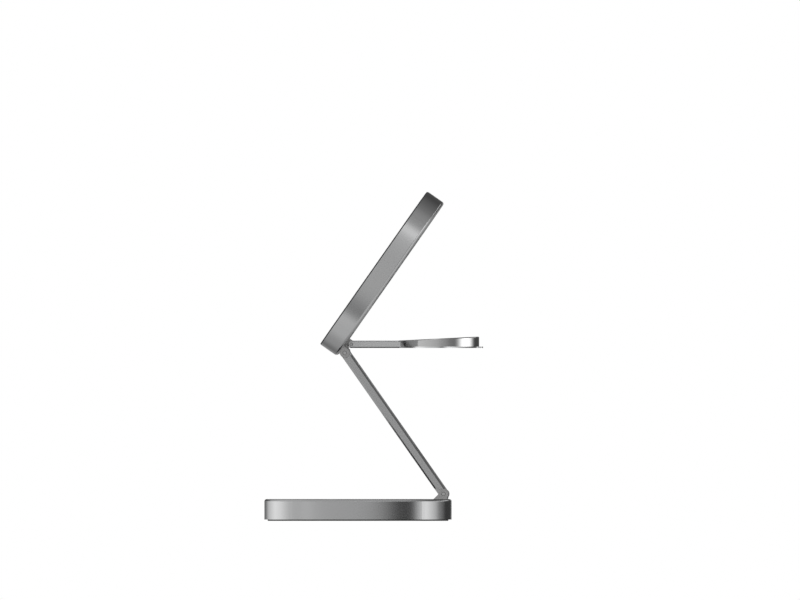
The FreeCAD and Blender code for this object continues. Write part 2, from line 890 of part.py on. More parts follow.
def puck_rise():
    """How far the puck's rear edge stands above its front edge."""
    return 2 * puck_radius * math.tan(math.radians(puck_tilt))


def above_puck():
    """The space above the puck's leaning top."""
    front = watch_reach - puck_radius
    rear = watch_reach + puck_radius
    top = watch_half + 2 * puck_rise()
    wedge = profile(
        [(front, watch_half), (rear, watch_half + puck_rise()), (rear, top), (front, top)],
        -puck_radius,
        puck_radius,
    )
    return wedge


def puck_blank(radius, low):
    return disc(radius, low, watch_half + 2 * puck_rise(), 0, watch_reach).cut(above_puck())


def puck_ring():
    outer = puck_blank(puck_radius, cover_top)
    tops = [edge for edge in outer.Edges if edge.BoundBox.ZMin > cover_top + watch_floor_thickness]
    outer = outer.makeFillet(puck_edge_radius, tops)
    bore = disc(puck_radius - puck_ring_width, cover_top, watch_half + 2 * puck_rise(), 0, watch_reach)
    half_slot = watch_arm_width / 2 + fit_gap
    slot_top = cover_top + neck_tongue_thickness + fit_gap
    slot = box(-half_slot, half_slot, watch_reach - puck_radius, watch_reach, cover_top, slot_top)
    return outer.cut(bore).cut(slot).removeSplitter()


def puck_face():
    face = puck_blank(puck_radius - puck_ring_width - fit_gap / 2, coil_top)
    sphere_radius = (puck_dish_radius ** 2 + puck_dish_depth ** 2) / (2 * puck_dish_depth)
    lean = math.radians(puck_tilt)
    rise = sphere_radius - puck_dish_depth
    middle = watch_half + puck_rise() / 2
    centre = Vector(0, watch_reach - rise * math.sin(lean), middle + rise * math.cos(lean))
    return face.cut(Part.makeSphere(sphere_radius, centre)).removeSplitter()


def watch_ferrite():
    return disc(watch_ferrite_radius, floor_top, floor_top + watch_ferrite_thickness, 0, watch_reach)


def watch_coil():
    return ring(watch_coil_outer, watch_coil_inner, coil_top - watch_coil_thickness, coil_top, 0, watch_reach)


def puck_magnet():
    return disc(puck_magnet_radius, coil_top - watch_coil_thickness, coil_top, 0, watch_reach)


# Every piece by the body it moves with
base_pieces = [
    base_shell, base_top_inlay, base_bottom_plate, foot_pad, case_screws, counterweight,
    earbud_coil, earbud_ferrite, earbud_coil_carrier, main_board, board_parts,
    usb_c_sleeve, usb_c_tongue, base_hinge_bracket, base_bracket_screws,
    lower_hinge_pin, lower_hinge_washers,
]
arm_pieces = [arm_frame, arm_wire_cover, arm_ribbon_wire]
pad_pieces = [
    pad_shell, pad_face, coil_carrier, carrier_screws, magnet_ring, alignment_magnet,
    phone_coil, phone_ferrite, pad_board, pad_board_parts, pad_hinge_bracket,
    pad_bracket_screws, upper_hinge_pins, upper_hinge_washers, watch_pivot_pin,
    watch_pivot_washers,
]
watch_arm_pieces = [
    watch_arm_body, watch_arm_cover, puck_ring, puck_face,
    watch_ferrite, watch_coil, puck_magnet,
]


def write_pieces(pieces, place):
    """Write each piece, in its place on the open charger, to a file of its own name."""
    for piece in pieces:
        made = piece()
        solids = [place(solid) for solid in (made if isinstance(made, list) else [made])]
        shape = solids[0] if len(solids) == 1 else Part.makeCompound(solids)
        shape.exportStep(f"parts/{piece.__name__}.step")


write_pieces(base_pieces, Part.Shape.copy)
write_pieces(arm_pieces, on_arm)
write_pieces(pad_pieces, on_pad)
write_pieces(watch_arm_pieces, on_watch_arm)
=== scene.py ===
import bmesh
import bpy
import json
import math
from mathutils import Matrix, Vector


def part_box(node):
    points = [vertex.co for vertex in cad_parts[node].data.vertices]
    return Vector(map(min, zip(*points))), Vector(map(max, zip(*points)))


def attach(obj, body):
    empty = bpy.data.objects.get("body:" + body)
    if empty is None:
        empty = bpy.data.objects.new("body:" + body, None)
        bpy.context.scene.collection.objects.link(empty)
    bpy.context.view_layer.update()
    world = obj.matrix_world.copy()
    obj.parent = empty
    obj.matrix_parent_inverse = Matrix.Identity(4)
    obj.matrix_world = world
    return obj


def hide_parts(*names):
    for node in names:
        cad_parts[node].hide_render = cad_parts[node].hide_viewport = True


# Finishes and fine parts of a folding three in one charger.
# Metres, +Z up, -Y is the front, and +X is the side that the camera looks at.
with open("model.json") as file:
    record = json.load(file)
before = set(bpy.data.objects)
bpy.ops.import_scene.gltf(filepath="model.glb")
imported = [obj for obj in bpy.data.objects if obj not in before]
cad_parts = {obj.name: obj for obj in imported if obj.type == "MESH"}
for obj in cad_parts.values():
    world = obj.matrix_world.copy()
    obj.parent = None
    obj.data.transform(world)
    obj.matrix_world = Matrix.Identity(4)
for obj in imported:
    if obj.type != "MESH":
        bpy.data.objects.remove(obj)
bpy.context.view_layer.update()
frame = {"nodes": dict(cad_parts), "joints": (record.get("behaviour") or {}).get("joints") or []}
joints = {joint["name"]: joint for joint in frame["joints"]}

MM = 0.001
HAIR = MM / 1000
UPPER_AXIS = Vector(joints["pad_tilt"]["pos_m"])
WATCH_AXIS = Vector(joints["watch_arm_fold"]["pos_m"])
FOLD = math.radians(joints["arm_fold"]["range_deg"][1])
LEVEL_FRAME = Matrix.Identity(4)
PAD_FRAME = Matrix.Translation(UPPER_AXIS) @ Matrix.Rotation(FOLD, 4, "X")
ARM_FRAME = Matrix.Translation(UPPER_AXIS) @ Matrix.Rotation(-FOLD, 4, "X")
WATCH_FRAME = Matrix.Translation(WATCH_AXIS)

# Camera
PICTURE_WIDTH = 0.3416
PICTURE_CENTRE = Vector((0, 0.01793, 0.0943))
CAMERA_TURN = math.radians(0.7)
CAMERA_DISTANCE = 1.2

# Studio: azimuth in degrees from +X towards +Y, with the brightness of the room there
HORIZON = [
    (-180, 0.05), (-133, 0.25), (-112, 0.73), (-76, 1.1), (-52, 0.97), (-27, 0.61), (-18, 0.56),
    (-12, 0.65), (-7, 0.54), (-2, 0.5), (4, 0.47), (14, 0.42), (18, 0.46), (25, 0.92), (29, 1.1),
    (44, 0.84), (58, 0.62), (74, 0.29), (109, 0.05), (147, 0.06), (180, 0.1),
]
UPPER_ROOM = [
    (-180, 0.1), (-120, 0.45), (-60, 0.6), (-20, 0.5), (0, 0.42), (10, 0.34), (20, 0.3), (35, 0.2),
    (60, 0.15), (92, 0.12), (140, 0.07), (180, 0.1),
]
FLOOR_NEAR = 0.51
FLOOR_BELOW = 0.34
FLOOR_BEHIND = 0.34
FLOOR_UNDER = 0.19
# Where one part of the room gives way to the next, along a direction's height, depth or reach to a side
UPPER_STEP = (0.05, 0.22)
GROUND_STEP = (0.1, 0.35)
BELOW_STEP = (0.5, 0.85)
UNDER_STEP = (0.45, 0.7)
BEHIND_STEP = (-0.6, 0.1)
BACKDROP_STEP = (0.985, 0.998)
BACKDROP_SHARE = 0.2
# Cards in the room. Across and upwards: middle, half size and softness in degrees. Then brightness
CARDS = [
    ((9.6, 6.6, 5), (0, 6, 5), 0.02),
    ((6.2, 6, 3), (10, 2.4, 3), 1.0),
    ((-6, 4, 4), (-7.2, 3.6, 4), 0.14),
    ((2.4, 2.4, 3), (4.6, 1.8, 3), 0.62),
    ((90, 27, 34), (12.5, 3, 5), 1.7),
    ((-138, 32, 8), (17, 7, 8), 0.05),
    ((118, 22, 14), (21, 8, 8), 0.6),
]
LAMP_SIZE = 1.2
LAMP_POWER = 12.0
LAMP_PLACE = Vector((0.2, 0.15, 1.1))
LAMP_AIM = Vector((0, 0, 0.05))
FLOOR_RADIUS = 3.0
FLOOR_GLOW = 0.4

# Shells: the flats of their sides, and how these lean into the round corners
BODY_WIDTH = 61 * MM
BODY_LENGTH = 79.5 * MM
CORNER_RADIUS = 12 * MM
STRAIGHT_WIDTH = BODY_WIDTH - 2 * CORNER_RADIUS
STRAIGHT_LENGTH = BODY_LENGTH - 2 * CORNER_RADIUS
PAD_MIDDLE = 36.75 * MM
SIDE_CROWN = math.radians(4)
SIDE_TURN = math.radians(8)
EASE = 9 * MM
RING_LEAN = 0.15

# Rings that mark the charging spots, and the turns of the coils
PAD_MARK_RADIUS = 23 * MM
INLAY_MARK_RADIUS = 9 * MM
MARK_HALF_WIDTH = 0.3 * MM
COIL_TURN = 0.55 * MM

# Fine parts
SHARP_ANGLE = math.radians(32)
SCREW_SPACING = 8 * MM
SCREW_HEAD_RADIUS = 1.3 * MM
SCREW_HEAD_HEIGHT = 0.6 * MM
SCREW_HEAD_EDGE = 0.14 * MM
SCREW_HEAD_TURNS = 36
SCREW_SHANK_RADIUS = 0.7 * MM
SCREW_SHANK_TURNS = 24
HEX_HALF_WIDTH = 0.6 * MM
HEX_INSET = 0.35 * MM
HEX_DEPTH = 0.4 * MM
CONTACT_COUNT = 12
CONTACT_PITCH = 0.5 * MM
CONTACT_SIZE = (0.26 * MM, 3 * MM, 0.06 * MM)
CONTACT_EDGE = 0.02 * MM
CONTACT_SETBACK = 2 * MM
TONGUE_HALF_THICKNESS = 0.35 * MM
PUCK_LEAN = math.radians(2.8)
DISH_RADIUS = 13.5 * MM
DISH_DEPTH = 0.6 * MM
DISH_RINGS = 16
FACE_TURNS = 128
FACE_EDGE = 0.15 * MM


class Wire:
    """A socket of a node tree that takes part in sums like a number."""

    def __init__(self, tree, socket=None):
        self.tree = tree
        self.socket = socket

    def make(self, kind, settings=(), sockets=(), output=0):
        """Add a node: its settings first, then the values or links of its sockets."""
        node = self.tree.nodes.new(kind)
        for name, value in dict(settings).items():
            if name == "stops":
                set_stops(node.color_ramp, value)
            else:
                setattr(node, name, value)
        for name, value in dict(sockets).items():
            if isinstance(value, Wire):
                self.tree.links.new(value.socket, node.inputs[name])
            else:
                node.inputs[name].default_value = value
        return Wire(self.tree, node.outputs[output]) if node.outputs else None

    def out(self, name):
        """Another output of the same node."""
        return Wire(self.tree, self.socket.node.outputs[name])

    def maths(self, operation, first, second=0.0):
        return self.make("ShaderNodeMath", {"operation": operation}, {0: first, 1: second})

    def __add__(self, other):
        return self.maths("ADD", self, other)

    def __sub__(self, other):
        return self.maths("SUBTRACT", self, other)

    def __rsub__(self, other):
        return self.maths("SUBTRACT", other, self)

    def __mul__(self, other):
        return self.maths("MULTIPLY", self, other)

    def __truediv__(self, other):
        return self.maths("DIVIDE", self, other)

    def __pow__(self, other):
        return self.maths("POWER", self, other)

    __radd__ = __add__
    __rmul__ = __mul__


def set_stops(ramp, stops):
    """Give a colour ramp its (position, grey level) stops."""
    ramp.elements.remove(ramp.elements[1])
    for index, (position, level) in enumerate(stops):
        element = ramp.elements[0] if index == 0 else ramp.elements.new(position)
        element.position = position
        element.color = (level, level, level, 1)


# Patterns that the finishes share
def own_place(wire):
    """Where a point is on the open charger, which turns with its piece."""
    return wire.make("ShaderNodeTexCoord", output="Object")


def local_place(wire, placing):
    """Where a point is in the frame of one of the moving pieces."""
    shifted = wire.make("ShaderNodeVectorMath", {"operation": "SUBTRACT"},
                        {0: own_place(wire), 1: placing.to_translation()})
    turn = placing.inverted().to_euler()
    return wire.make("ShaderNodeMapping", {"vector_type": "POINT"}, {"Vector": shifted, "Rotation": turn})


def radius_about(wire, placing, centre):
    """How far a point is from the upright axis through a centre in a moving piece's frame."""
    place = local_place(wire, placing @ Matrix.Translation(centre))
    flat = wire.make("ShaderNodeVectorMath", {"operation": "MULTIPLY"}, {0: place, 1: (1, 1, 0)})
    return wire.make("ShaderNodeVectorMath", {"operation": "LENGTH"}, {0: flat}, "Value")


def stretched(wire, place, scale):
    return wire.make("ShaderNodeMapping", {"vector_type": "POINT"}, {"Vector": place, "Scale": scale})


def noise(wire, place, scale, detail=2.0):
    return wire.make("ShaderNodeTexNoise", {}, {"Vector": place, "Scale": scale, "Detail": detail})


def step(wire, value, low, high):
    """A soft step from 0 at low to 1 at high."""
    return wire.make("ShaderNodeMapRange", {"interpolation_type": "SMOOTHSTEP"},
                     {"Value": value, "From Min": low, "From Max": high})


def tint(wire, factor, first, second):
    return wire.make("ShaderNodeMix", {"data_type": "RGBA"}, {0: factor, 6: first, 7: second}, 2)


def bump(wire, height, distance, under=None):
    """A relief of this depth in metres, on top of another one if given."""
    sockets = {"Height": height, "Distance": distance, "Strength": 1.0}
    if under:
        sockets["Normal"] = under
    return wire.make("ShaderNodeBump", {}, sockets)


def grey(level, warmth=0.0):
    return (level * (1 + warmth), level, level * (1 - warmth), 1)


def rework(name):
    """Empty a material and give back the start of its new nodes."""
    material = bpy.data.materials.get(name) or bpy.data.materials.new(name)
    material.use_nodes = True
    material.node_tree.nodes.clear()
    return material, Wire(material.node_tree)


# Sockets with another full name than the one that surfaced() is given
SOCKET_NAMES = {"specular": "Specular IOR Level"}


def surfaced(material, wire, **sockets):
    """End the nodes in one principled surface. Socket names are given with low lines for spaces."""
    named = {SOCKET_NAMES.get(key, key.replace("_", " ").title()): value for key, value in sockets.items()}
    shader = wire.make("ShaderNodeBsdfPrincipled", {}, named)
    wire.make("ShaderNodeOutputMaterial", {}, {"Surface": shader})
    return material


# Metals
def blasted_aluminium(name, placing, level):
    """Anodised shell: a fine blasted grain, a faint cloudiness and flats that ease into the corners."""
    material, wire = rework(name)
    place = own_place(wire)
    grain = noise(wire, place, 5200, 3)
    cloud = noise(wire, place, 60, 2)
    colour = tint(wire, cloud, grey(level), grey(level * 1.08, -0.01))
    relief = bump(wire, grain, 0.0006 * MM, eased_sides(wire, placing))
    return surfaced(material, wire, base_color=colour, metallic=1.0,
                    roughness=0.14 + 0.04 * grain, normal=relief)


def side_lean(wire, along, straight):
    """How far a flat side leans towards its end: it grows along the flat and fades in the round corner."""
    reach = wire.maths("ABSOLUTE", along)
    rise = wire.maths("MINIMUM", reach / straight, 1.0)
    limits = {"From Min": straight, "From Max": straight + EASE, "To Min": 1.0, "To Max": 0.0}
    fade = wire.make("ShaderNodeMapRange", {}, {"Value": reach, **limits})
    return (rise * SIDE_CROWN + rise ** 4 * SIDE_TURN) * fade ** 2 * wire.maths("SIGN", along)


def eased_sides(wire, placing):
    """Normals of a shell whose upright sides swell a little between their corners."""
    place = wire.make("ShaderNodeSeparateXYZ", {}, {0: local_place(wire, placing)})
    facing = turned(wire, wire.make("ShaderNodeTexCoord", output="Normal"), placing.inverted())
    upright = wire.make("ShaderNodeSeparateXYZ", {}, {0: facing}, "Z")
    share = 1 - upright * upright
    lean = wire.make("ShaderNodeCombineXYZ", {}, {
        "X": side_lean(wire, place.out("X"), STRAIGHT_WIDTH / 2) * share,
        "Y": side_lean(wire, place.out("Y"), STRAIGHT_LENGTH / 2) * share,
    })
    leaning = wire.make("ShaderNodeVectorMath", {"operation": "ADD"}, {0: facing, 1: lean})
    return own_normal(wire, turned(wire, leaning, placing))


def own_normal(wire, direction):
    """A normal in the piece's own frame, given by a direction of any length."""
    unit = wire.make("ShaderNodeVectorMath", {"operation": "NORMALIZE"}, {0: direction})
    packed = wire.make("ShaderNodeVectorMath", {"operation": "MULTIPLY_ADD"},
                       {0: unit, 1: (0.5, 0.5, 0.5), 2: (0.5, 0.5, 0.5)})
    return wire.make("ShaderNodeNormalMap", {"space": "OBJECT"}, {"Color": packed})


def turned(wire, vector, placing):
    return wire.make("ShaderNodeMapping", {"vector_type": "VECTOR"},
                     {"Vector": vector, "Rotation": placing.to_euler()})


def brushed_aluminium(name, placing, level):
    """Arm metal, brushed along its length."""
    material, wire = rework(name)
    place = local_place(wire, placing)
    lines = noise(wire, stretched(wire, place, (5200, 60, 5200)), 1, 3)
    cloud = noise(wire, place, 70, 2)
    colour = tint(wire, cloud, grey(level), grey(level * 1.08, -0.01))
    relief = bump(wire, lines, 0.0005 * MM)
    return surfaced(material, wire, base_color=colour, metallic=1.0,
                    roughness=0.2 + 0.06 * lines, normal=relief)


def pressed_bracket(name):
    """Plain pressed metal of the hinge brackets."""
    material, wire = rework(name)
    place = own_place(wire)
    grain = noise(wire, place, 3200, 4)
    colour = tint(wire, noise(wire, place, 180), grey(0.54), grey(0.60, 0.01))
    return surfaced(material, wire, base_color=colour, metallic=1.0,
                    roughness=0.24 + 0.1 * grain, normal=bump(wire, grain, 0.0015 * MM))


def turned_steel(name, level, rough, scale):
    """Steel with the fine marks of turning across X."""
    material, wire = rework(name)
    place = own_place(wire)
    marks = noise(wire, stretched(wire, place, (scale, scale / 12, scale / 12)), 1, 2)
    colour = tint(wire, marks, grey(level), grey(level * 1.15))
    return surfaced(material, wire, base_color=colour, metallic=1.0,
                    roughness=rough + 0.1 * marks, normal=bump(wire, marks, 0.002 * MM))


def polished_ring(name):
    """The puck's polished steel ring, with faint circular marks and a side that leans up a little."""
    material, wire = rework(name)
    place = own_place(wire)
    smear = noise(wire, stretched(wire, place, (300, 300, 5000)), 1, 2)
    colour = tint(wire, smear, grey(0.76), grey(0.82))
    facing = wire.make("ShaderNodeTexCoord", output="Normal")
    leaning = wire.make("ShaderNodeVectorMath", {"operation": "ADD"}, {0: facing, 1: (0, 0, RING_LEAN)})
    return surfaced(material, wire, base_color=colour, metallic=1.0, roughness=0.07 + 0.07 * smear,
                    normal=bump(wire, smear, 0.0005 * MM, own_normal(wire, leaning)))


def wound_copper(name, placing, centre):
    """A flat coil: enamelled wire turns, seen as rings."""
    material, wire = rework(name)
    angle = radius_about(wire, placing, centre) * (2 * math.pi / COIL_TURN)
    turns = wire.maths("SINE", angle) * 0.5 + 0.5
    colour = tint(wire, turns, (0.16, 0.045, 0.02, 1), (0.72, 0.26, 0.12, 1))
    return surfaced(material, wire, base_color=colour, metallic=0.9, roughness=0.42 - 0.12 * turns,
                    normal=bump(wire, turns, 0.12 * MM))


# Soft and moulded pieces
def soft_touch(name, level, placing, centre, mark_radius):
    """Silicone skin: a fine pebbled grain, a dusty bloom and a glossier ring round the charging spot."""
    material, wire = rework(name)
    place = own_place(wire)
    offset = wire.maths("ABSOLUTE", radius_about(wire, placing, centre) - mark_radius)
    mark = 1 - step(wire, offset, 0.8 * MARK_HALF_WIDTH, 1.2 * MARK_HALF_WIDTH)
    pebbles = wire.make("ShaderNodeTexVoronoi", {"feature": "SMOOTH_F1"}, {"Vector": place, "Scale": 1500})
    bloom = noise(wire, place, 90, 4)
    colour = tint(wire, bloom, grey(level, -0.03), grey(level * 1.35, -0.03))
    colour = tint(wire, mark, colour, grey(level * 2.4, -0.03))
    relief = bump(wire, noise(wire, place, 4500, 2), 0.01 * MM, bump(wire, pebbles, 0.03 * MM))
    return surfaced(material, wire, base_color=colour, roughness=0.52 + 0.16 * bloom - 0.2 * mark,
                    specular=0.35, sheen_weight=0.12, sheen_roughness=0.4, normal=relief)


def moulded_plastic(name, colour, rough, scale=2400, depth=0.012):
    """Moulded plastic with a spark eroded texture."""
    material, wire = rework(name)
    place = own_place(wire)
    sparks = noise(wire, place, scale, 4)
    shade = tuple(channel * 0.82 for channel in colour[:3]) + (1,)
    return surfaced(material, wire, base_color=tint(wire, noise(wire, place, 120), shade, colour),
                    roughness=rough + 0.14 * sparks, normal=bump(wire, sparks, depth * MM))


def glossy_white(name):
    """The puck's white charging face: glossy, faintly uneven, under a clear coat."""
    material, wire = rework(name)
    place = own_place(wire)
    cloud = noise(wire, place, 140, 2)
    ripple = noise(wire, place, 420, 1)
    return surfaced(material, wire, base_color=tint(wire, cloud, grey(0.78), grey(0.84, 0.01)),
                    roughness=0.2 + 0.12 * cloud, coat_weight=0.6, coat_roughness=0.08,
                    normal=bump(wire, ripple, 0.001 * MM))


def ribbed_rubber(name):
    """The foot: matt rubber with fine ribs across it."""
    material, wire = rework(name)
    place = own_place(wire)
    ribs = wire.make("ShaderNodeTexWave", {"bands_direction": "Y"},
                     {"Vector": place, "Scale": 260, "Distortion": 0.0}, "Fac")
    dust = noise(wire, place, 700, 5)
    return surfaced(material, wire, base_color=tint(wire, dust, grey(0.012), grey(0.03)),
                    roughness=0.7 + 0.2 * dust, normal=bump(wire, ribs + 0.3 * dust, 0.05 * MM))


def sintered(name, level, speck):
    """Ferrite: a dull speckled ceramic."""
    material, wire = rework(name)
    place = own_place(wire)
    specks = noise(wire, place, speck, 6)
    return surfaced(material, wire, base_color=tint(wire, specks, grey(level), grey(level * 1.8)),
                    roughness=0.45 + 0.3 * specks, normal=bump(wire, specks, 0.01 * MM))


def plated_magnet(name):
    """Magnets under a warm, slightly cloudy nickel plating."""
    material, wire = rework(name)
    place = own_place(wire)
    cloud = noise(wire, place, 500, 4)
    colour = tint(wire, cloud, (0.5, 0.48, 0.44, 1), (0.62, 0.6, 0.56, 1))
    return surfaced(material, wire, base_color=colour, metallic=1.0,
                    roughness=0.18 + 0.15 * cloud, normal=bump(wire, cloud, 0.002 * MM))


def circuit_laminate(name):
    """A board: dark solder mask over copper traces."""
    material, wire = rework(name)
    place = own_place(wire)
    cells = wire.make("ShaderNodeTexBrick", {"offset": 0.5},
                      {"Vector": place, "Scale": 900, "Mortar Size": 0.08}, "Fac")
    weave = noise(wire, place, 3000, 2)
    colour = tint(wire, cells, (0.01, 0.06, 0.035, 1), (0.03, 0.12, 0.06, 1))
    return surfaced(material, wire, base_color=colour,
                    roughness=0.3 + 0.2 * weave, normal=bump(wire, cells + 0.4 * weave, 0.02 * MM))


def film_ribbon(name, placing):
    """The ribbon wire: amber film over straight conductors."""
    material, wire = rework(name)
    place = local_place(wire, placing)
    lines = wire.make("ShaderNodeTexWave", {"bands_direction": "X"}, {"Vector": place, "Scale": 500}, "Fac")
    colour = tint(wire, lines, (0.28, 0.1, 0.02, 1), (0.55, 0.26, 0.07, 1))
    return surfaced(material, wire, base_color=colour,
                    roughness=0.3 + 0.1 * lines, normal=bump(wire, lines, 0.02 * MM))


def gold_contact(name):
    """Plated contacts, a little worn."""
    material, wire = rework(name)
    place = own_place(wire)
    wear = noise(wire, place, 6000, 3)
    colour = tint(wire, wear, (0.75, 0.5, 0.2, 1), (0.9, 0.66, 0.3, 1))
    return surfaced(material, wire, base_color=colour, metallic=1.0,
                    roughness=0.22 + 0.15 * wear, normal=bump(wire, wear, 0.001 * MM))


def finish_nodes():
    """Give every carried over piece its finish."""
    base_spot = centre_of("earbud_coil")
    pad_spot = PAD_FRAME.inverted() @ centre_of("phone_coil")
    pad_shell_frame = PAD_FRAME @ Matrix.Translation((0, PAD_MIDDLE, 0))
    finishes = {
        "satin_aluminium": blasted_aluminium("satin_aluminium", LEVEL_FRAME, 0.62),
        "arm_aluminium": brushed_aluminium("arm_aluminium", ARM_FRAME, 0.62),
        "bracket_metal": pressed_bracket("bracket_metal"),
        "bare_steel": turned_steel("bare_steel", 0.5, 0.28, 2600),
        "screw_steel": turned_steel("screw_steel", 0.42, 0.22, 3600),
        "pin_steel": turned_steel("pin_steel", 0.6, 0.14, 4200),
        "puck_chrome": polished_ring("puck_chrome"),
        "puck_white": glossy_white("puck_white"),
        "charcoal_face": soft_touch("charcoal_face", 0.03, PAD_FRAME, pad_spot, PAD_MARK_RADIUS),
        "charcoal_inlay": soft_touch("charcoal_inlay", 0.034, LEVEL_FRAME, base_spot, INLAY_MARK_RADIUS),
        "black_plastic": moulded_plastic("black_plastic", (0.02, 0.02, 0.021, 1), 0.42),
        "arm_cover_plastic": moulded_plastic("arm_cover_plastic", (0.2, 0.2, 0.205, 1), 0.4),
        "chip_plastic": moulded_plastic("chip_plastic", (0.03, 0.03, 0.032, 1), 0.5, 5000, 0.006),
        "ribbon_plastic": film_ribbon("ribbon_plastic", ARM_FRAME),
        "foot_rubber": ribbed_rubber("foot_rubber"),
        "ferrite": sintered("ferrite", 0.03, 2600),
        "magnet_nickel": plated_magnet("magnet_nickel"),
        "board_laminate": circuit_laminate("board_laminate"),
    }
    slots = {name: node.material_slots[0].material.name for name, node in frame["nodes"].items()}
    own = {
        "earbud_coil": wound_copper("earbud_windings", LEVEL_FRAME, base_spot),
        "phone_coil": wound_copper("phone_windings", PAD_FRAME, pad_spot),
        "watch_coil": wound_copper("watch_windings", LEVEL_FRAME, centre_of("watch_coil")),
        "watch_arm_body": brushed_aluminium("watch_arm_aluminium", WATCH_FRAME, 0.82),
        "pad_shell": blasted_aluminium("pad_aluminium", pad_shell_frame, 0.69),
    }
    own["watch_arm_cover"] = own["watch_arm_body"]
    for name, node in frame["nodes"].items():
        node.material_slots[0].material = own.get(name) or finishes[slots[name]]
    return finishes


def centre_of(name):
    low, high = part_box(name)
    return (low + high) / 2


# Making fine parts
def add_to_scene(name, data):
    item = bpy.data.objects.new(name, data)
    bpy.context.scene.collection.objects.link(item)
    return item


def add_piece(name, solid, placing, material, body):
    """Put a modelled solid in its place as a piece that rides on a body."""
    bmesh.ops.transform(solid, matrix=placing, verts=solid.verts)
    bmesh.ops.recalc_face_normals(solid, faces=solid.faces)
    mesh = bpy.data.meshes.new(name)
    solid.to_mesh(mesh)
    solid.free()
    piece = add_to_scene(name, mesh)
    mesh.materials.append(material)
    mesh.shade_smooth()
    mesh.set_sharp_from_angle(angle=SHARP_ANGLE)
    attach(piece, body)
    return piece


def round_edges(solid, edges, offset, segments):
    bmesh.ops.bevel(solid, geom=edges, offset=offset, segments=segments, profile=0.5,
                    affect="EDGES", material=-1)


def cylinder(solid, turns, radius, foot, height):
    """An upright cylinder about the Z axis that stands on the height of its foot."""
    verts = bmesh.ops.create_cone(solid, cap_ends=True, segments=turns, radius1=radius,
                                  radius2=radius, depth=height)["verts"]
    bmesh.ops.translate(solid, verts=verts, vec=(0, 0, foot + height / 2))


def hex_reach(angle, half_width):
    """Distance from the middle of a hexagon to its side at an angle."""
    sixth = math.pi / 3
    return half_width / math.cos((angle % sixth) - sixth / 2)


def socket_screw(solid, shank_length):
    """A low cap screw with a hexagon socket, its head's top facing -Z at z = 0."""
    cylinder(solid, SCREW_HEAD_TURNS, SCREW_HEAD_RADIUS, 0, SCREW_HEAD_HEIGHT)
    rim = [edge for edge in solid.edges if all(vert.co.z < MM / 100 for vert in edge.verts)]
    round_edges(solid, rim, SCREW_HEAD_EDGE, 3)
    top = min((face for face in solid.faces if len(face.verts) == SCREW_HEAD_TURNS),
              key=lambda face: face.calc_center_median().z)
    bmesh.ops.inset_region(solid, faces=[top], thickness=HEX_INSET)
    for vert in top.verts:
        angle = math.atan2(vert.co.y, vert.co.x)
        vert.co.xy = Vector((math.cos(angle), math.sin(angle))) * hex_reach(angle, HEX_HALF_WIDTH)
    pit = bmesh.ops.extrude_face_region(solid, geom=[top])
    floor = [item for item in pit["geom"] if isinstance(item, bmesh.types.BMVert)]
    bmesh.ops.translate(solid, verts=floor, vec=(0, 0, HEX_DEPTH))
    bmesh.ops.delete(solid, geom=[top], context="FACES_ONLY")
    cylinder(solid, SCREW_SHANK_TURNS, SCREW_SHANK_RADIUS, SCREW_HEAD_HEIGHT, shank_length)


def pad_screws(finishes):
    """The four screws of the pad's bracket, seen from behind."""
    screws = frame["nodes"]["pad_bracket_screws"].data
    corners = [PAD_FRAME.inverted() @ vert.co for vert in screws.vertices]
    low = Vector(min(corner[axis] for corner in corners) for axis in range(3))
    high = Vector(max(corner[axis] for corner in corners) for axis in range(3))
    outer = high.x - SCREW_HEAD_RADIUS
    solid = bmesh.new()
    for x in (-outer, -outer + SCREW_SPACING, outer - SCREW_SPACING, outer):
        screw = bmesh.new()
        socket_screw(screw, high.z - low.z - SCREW_HEAD_HEIGHT)
        bmesh.ops.translate(screw, verts=screw.verts, vec=(x, (low.y + high.y) / 2, low.z))
        joined = bpy.data.meshes.new("one_screw")
        screw.to_mesh(joined)
        screw.free()
        solid.from_mesh(joined)
        bpy.data.meshes.remove(joined)
    steel = finishes["screw_steel"]
    piece = add_piece("bracket_socket_screws", solid, PAD_FRAME, steel, "phone_pad")
    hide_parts("pad_bracket_screws")


def dished_face(finishes):
    """The puck's white face: a smooth shallow dish inside a flat rim, leaning as the puck does."""
    low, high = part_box("puck_face")
    radius = (high.x - low.x) / 2
    top = high.z - radius * math.tan(PUCK_LEAN)
    outline = [(0, top), (DISH_RADIUS, top), (radius, top), (radius, low.z), (0, low.z)]
    solid = bmesh.new()
    corners = [solid.verts.new((across, 0, height)) for across, height in outline]
    lines = [solid.edges.new(ends) for ends in zip(corners, corners[1:])]
    bmesh.ops.subdivide_edges(solid, edges=lines[:1], cuts=DISH_RINGS)
    for vert in solid.verts:
        if vert.co.z > top - HAIR and vert.co.x < DISH_RADIUS:
            vert.co.z -= DISH_DEPTH * (1 - (vert.co.x / DISH_RADIUS) ** 2)
    bmesh.ops.spin(solid, geom=solid.verts[:] + solid.edges[:], cent=(0, 0, 0), axis=(0, 0, 1),
                   angle=math.tau, steps=FACE_TURNS, use_merge=True)
    bmesh.ops.remove_doubles(solid, verts=solid.verts, dist=HAIR)
    level = [vert for vert in solid.verts if vert.co.z > top - HAIR]
    outer = {vert for vert in level if vert.co.xy.length > radius - MM / 100}
    round_edges(solid, [edge for edge in solid.edges if outer.issuperset(edge.verts)], FACE_EDGE, 3)
    lean = Matrix.Identity(4)
    lean[2][1] = math.tan(PUCK_LEAN)
    upper = [vert for vert in solid.verts if vert.co.z > low.z + MM / 10]
    bmesh.ops.transform(solid, matrix=lean, verts=upper)
    placing = Matrix.Translation((0, (low.y + high.y) / 2, 0))
    white = finishes["puck_white"]
    piece = add_piece("dished_white_face", solid, placing, white, "watch_arm")
    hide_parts("puck_face")


